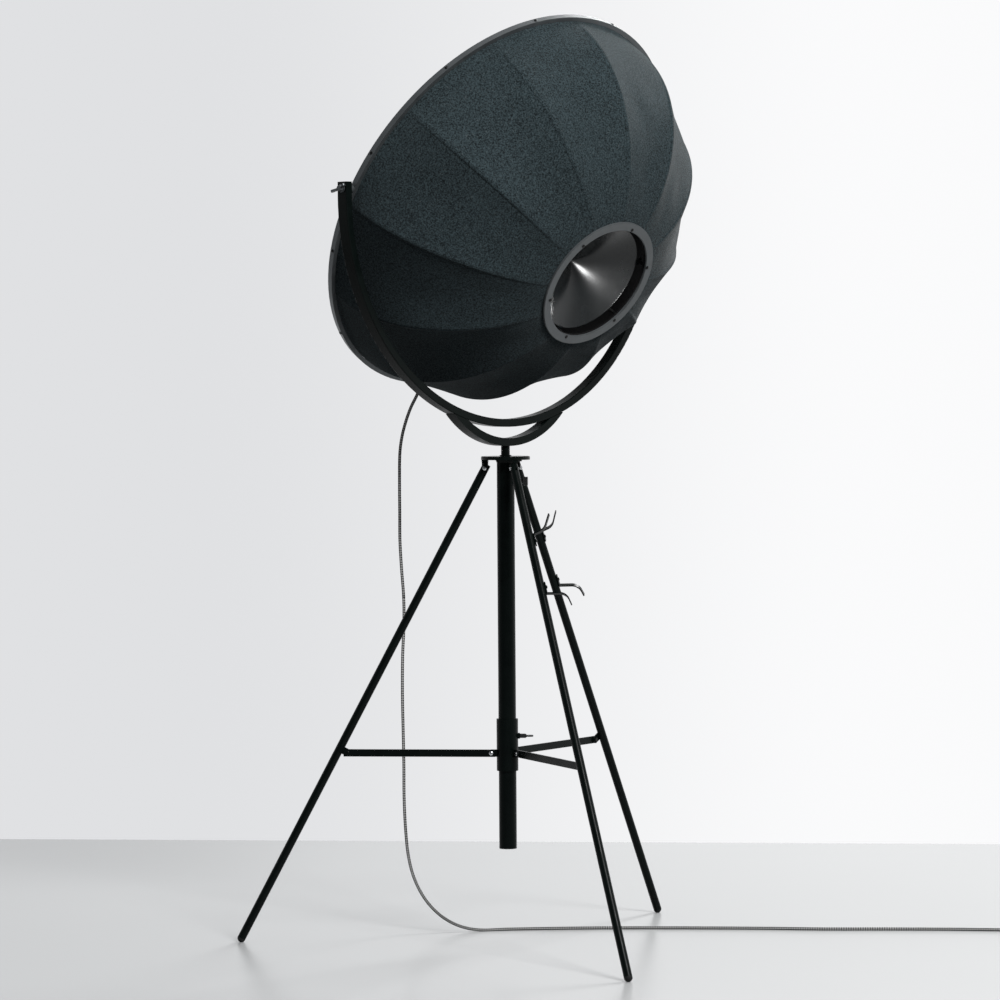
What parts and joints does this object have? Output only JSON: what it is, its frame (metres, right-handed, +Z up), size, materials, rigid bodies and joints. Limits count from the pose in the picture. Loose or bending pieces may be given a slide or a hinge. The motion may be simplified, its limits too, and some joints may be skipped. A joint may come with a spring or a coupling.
{
  "type": "tripod spotlight floor lamp",
  "caption": "Tripod spotlight floor lamp: a large ribbed cloth shade tilting in a steel fork on a height-adjustable stem and a folding tripod, with a floor cord.",
  "frame": {"origin": "point on the floor on the column's axis, midway between the three feet", "axes": "+Z up along the column, -X along the leg that points left, +Y away from the viewer"},
  "size_m": [1.7252, 0.9766, 1.884],
  "materials": {
    "satin_black": "satin",
    "dark_metal": "satin",
    "bright_steel": "satin",
    "black_rubber": "matte",
    "black_plastic": "satin",
    "shade_fabric": "woven",
    "gloss_black_metal": "gloss",
    "frosted_glass": "frosted",
    "braided_cord": "braided"
  },
  "bodies": {
    "column": {"top_plate": "satin_black", "column_tube": "satin_black", "column_bush": "black_plastic", "column_cap": "black_rubber", "leg_lugs": "satin_black", "hinge_bolts": "bright_steel", "cord_floor": "braided_cord", "cord_coil": "braided_cord", "cord_tie": "black_plastic", "plug": "black_plastic"},
    "leg_1": {"leg_1": "satin_black", "foot_cap_1": "black_rubber", "ear_nut_1": "bright_steel"},
    "leg_2": {"leg_2": "satin_black", "foot_cap_2": "black_rubber", "ear_nut_2": "bright_steel", "leg_2_hooks": "satin_black", "hook_screws_2": "bright_steel"},
    "leg_3": {"leg_3": "satin_black", "foot_cap_3": "black_rubber", "ear_nut_3": "bright_steel", "leg_3_hooks": "satin_black", "hook_screws_3": "bright_steel"},
    "collar": {"collar": "satin_black", "collar_bolts": "bright_steel"},
    "collar_screw": {"collar_screw": "dark_metal"},
    "brace_1": {"brace_1": "dark_metal"},
    "brace_2": {"brace_2": "dark_metal"},
    "brace_3": {"brace_3": "dark_metal"},
    "stem": {"stem_tube": "satin_black", "stem_glide": "black_plastic", "cord_hang": "braided_cord"},
    "stem_screw": {"stem_screw": "satin_black"},
    "fork": {"fork_arc": "satin_black", "fork_cradle": "satin_black", "fork_spigot": "satin_black", "pivot_washers": "dark_metal", "cord_top": "braided_cord"},
    "wing_bolt_left": {"wing_bolt_left": "dark_metal"},
    "wing_bolt_right": {"wing_bolt_right": "dark_metal"},
    "shade": {"rim_hoop": "dark_metal", "rib_hoop": "satin_black", "ribs": "dark_metal", "rim_screws": "bright_steel", "shade_cloth": "shade_fabric", "back_ring": "dark_metal", "clamp_ring": "dark_metal", "ring_screws": "bright_steel", "funnel": "gloss_black_metal", "funnel_spacers": "bright_steel", "crossbar": "satin_black", "lamp_holder": "black_plastic", "bulb": "frosted_glass", "cord_gland": "black_rubber"}
  },
  "joints": [
    {"name": "leg_1_fold", "type": "hinge", "parent": "column", "child": "leg_1", "pos_m": [-0.042, 0, 0.976], "axis": [0, -1, 0], "range_deg": [0, 23.88], "deforming": ["cord_floor"]},
    {"name": "leg_2_fold", "type": "hinge", "parent": "column", "child": "leg_2", "pos_m": [0.021, -0.03637, 0.976], "axis": [0.866, 0.5, 0], "range_deg": [0, 23.93]},
    {"name": "leg_3_fold", "type": "hinge", "parent": "column", "child": "leg_3", "pos_m": [0.021, 0.03637, 0.976], "axis": [-0.866, 0.5, 0], "range_deg": [0, 23.93]},
    {"name": "collar_slide", "type": "slide", "parent": "column", "child": "collar", "axis": [0, 0, 1], "range_m": [0, 0.2284]},
    {"name": "brace_1_fold", "type": "hinge", "parent": "collar", "child": "brace_1", "pos_m": [-0.03255, 0, 0.393], "axis": [0, -1, 0], "range_deg": [0, 83.2]},
    {"name": "brace_2_fold", "type": "hinge", "parent": "collar", "child": "brace_2", "pos_m": [0.01628, -0.02819, 0.393], "axis": [0.866, 0.5, 0], "range_deg": [0, 83.2]},
    {"name": "brace_3_fold", "type": "hinge", "parent": "collar", "child": "brace_3", "pos_m": [0.01628, 0.02819, 0.393], "axis": [-0.866, 0.5, 0], "range_deg": [0, 83.2]},
    {"name": "collar_screw_turn", "type": "hinge", "parent": "collar", "child": "collar_screw", "pos_m": [0.04, 0, 0.428], "axis": [1, 0, 0], "range_deg": [0, 180]},
    {"name": "stem_slide", "type": "slide", "parent": "column", "child": "stem", "axis": [0, 0, 1], "range_m": [0, 0.45], "deforming": ["cord_floor"]},
    {"name": "stem_screw_turn", "type": "hinge", "parent": "column", "child": "stem_screw", "pos_m": [0.03, 0, 0.949], "axis": [1, 0, 0], "range_deg": [0, 180]},
    {"name": "fork_swivel", "type": "hinge", "parent": "stem", "child": "fork", "pos_m": [0, 0, 1], "axis": [0, 0, 1], "continuous": true, "deforming": ["cord_hang"]},
    {"name": "shade_tilt", "type": "hinge", "parent": "fork", "child": "shade", "pos_m": [0, 0, 1.533], "axis": [0.6198, 0.7848, 0], "range_deg": [-27, 55], "deforming": ["cord_top"]},
    {"name": "wing_bolt_left_turn", "type": "hinge", "parent": "shade", "child": "wing_bolt_left", "pos_m": [0, 0, 1.533], "axis": [0.6198, 0.7848, 0], "range_deg": [0, 180]},
    {"name": "wing_bolt_right_turn", "type": "hinge", "parent": "shade", "child": "wing_bolt_right", "pos_m": [0, 0, 1.533], "axis": [0.6198, 0.7848, 0], "range_deg": [0, 180]}
  ],
  "couplings": [
    {"joint": "leg_2_fold", "follows": "leg_1_fold", "ratio": 1},
    {"joint": "leg_3_fold", "follows": "leg_1_fold", "ratio": 1},
    {"joint": "collar_slide", "follows": "leg_1_fold", "m_per_rad": 0.54697},
    {"joint": "brace_1_fold", "follows": "leg_1_fold", "ratio": 3.4789},
    {"joint": "brace_2_fold", "follows": "leg_1_fold", "ratio": 3.4789},
    {"joint": "brace_3_fold", "follows": "leg_1_fold", "ratio": 3.4789}
  ]
}
